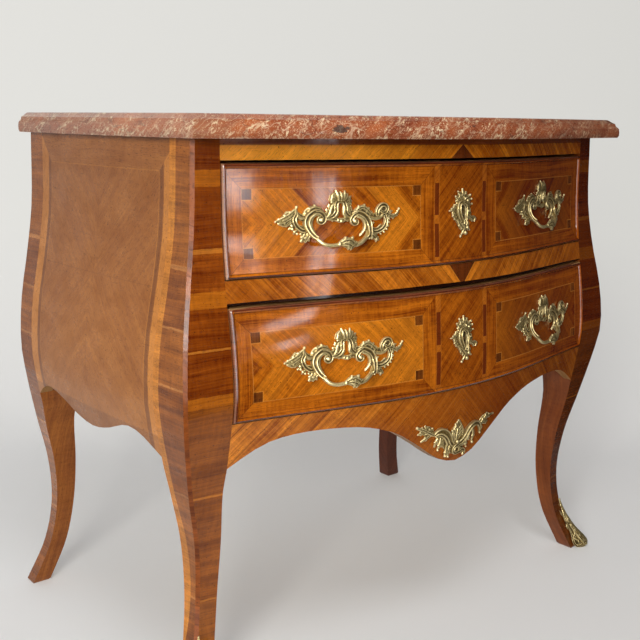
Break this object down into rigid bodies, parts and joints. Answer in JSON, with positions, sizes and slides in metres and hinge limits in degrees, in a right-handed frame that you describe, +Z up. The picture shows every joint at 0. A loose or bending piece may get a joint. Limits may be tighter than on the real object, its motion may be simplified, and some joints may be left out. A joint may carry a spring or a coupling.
{
  "type": "commode chest",
  "caption": "Bombe commode on cabriole legs: serpentine drawers with locks slide in a swelling carcass with a shaped apron, under a moulded stone top, with cast pulls and mounts.",
  "frame": {"origin": "on the floor under the middle of the whole chest", "axes": "+X to the right for someone who faces the front; the front faces -Y; +Z up"},
  "size_m": [0.973, 0.6622, 0.85],
  "materials": {
    "marble": "polished reddish pink-brown marble with cream veins and white flecks",
    "veneer": "quarter-matched orange-brown tulipwood veneer under a glossy varnish",
    "banding": "dark reddish cross-grained veneer blocks with light bands, varnished",
    "side_veneer": "duller grey-brown quarter-matched veneer with crossbands, varnished",
    "pine": "bare planed softwood, darkened with age",
    "oak": "bare oak, worn where the drawers run",
    "bronze": "chased gilt bronze, pale on the ridges and dark in the recesses",
    "steel": "dull old iron"
  },
  "bodies": {
    "carcass": {"marble_top": "marble", "top_board": "pine", "frieze_rail": "veneer", "middle_rail": "veneer", "front_apron": "veneer", "lower_front_rail": "oak", "front_left_post": "banding", "front_right_post": "banding", "rear_left_post": "side_veneer", "rear_right_post": "side_veneer", "left_side_panel": "side_veneer", "right_side_panel": "side_veneer", "back_top_rail": "pine", "back_bottom_rail": "pine", "back_muntin": "pine", "back_left_panel": "pine", "back_right_panel": "pine", "dust_board": "pine", "bottom_board": "pine", "apron_mount": "bronze", "left_sabot": "bronze", "right_sabot": "bronze", "upper_left_kicker": "oak", "upper_right_kicker": "oak", "upper_left_runner": "oak", "upper_left_guide": "oak", "upper_left_stop": "oak", "upper_right_runner": "oak", "upper_right_guide": "oak", "upper_right_stop": "oak", "lower_left_runner": "oak", "lower_left_guide": "oak", "lower_left_stop": "oak", "lower_right_runner": "oak", "lower_right_guide": "oak", "lower_right_stop": "oak"},
    "upper_drawer": {"upper_drawer_front": "veneer", "upper_drawer_left_side": "oak", "upper_drawer_right_side": "oak", "upper_drawer_back": "oak", "upper_drawer_bottom": "oak", "upper_lock_case": "steel", "upper_escutcheon": "bronze", "upper_left_pull": "bronze", "upper_right_pull": "bronze"},
    "upper_bolt": {"upper_lock_bolt": "steel"},
    "lower_drawer": {"lower_drawer_front": "veneer", "lower_drawer_left_side": "oak", "lower_drawer_right_side": "oak", "lower_drawer_back": "oak", "lower_drawer_bottom": "oak", "lower_lock_case": "steel", "lower_escutcheon": "bronze", "lower_left_pull": "bronze", "lower_right_pull": "bronze"},
    "lower_bolt": {"lower_lock_bolt": "steel"}
  },
  "joints": [
    {"name": "upper_drawer_slide", "type": "slide", "parent": "carcass", "child": "upper_drawer", "axis": [0, -1, 0], "range_m": [0, 0.33]},
    {"name": "upper_bolt_slide", "type": "slide", "parent": "upper_drawer", "child": "upper_bolt", "axis": [0, 0, 1], "range_m": [0, 0.012]},
    {"name": "lower_drawer_slide", "type": "slide", "parent": "carcass", "child": "lower_drawer", "axis": [0, -1, 0], "range_m": [0, 0.33]},
    {"name": "lower_bolt_slide", "type": "slide", "parent": "lower_drawer", "child": "lower_bolt", "axis": [0, 0, 1], "range_m": [0, 0.012]}
  ]
}
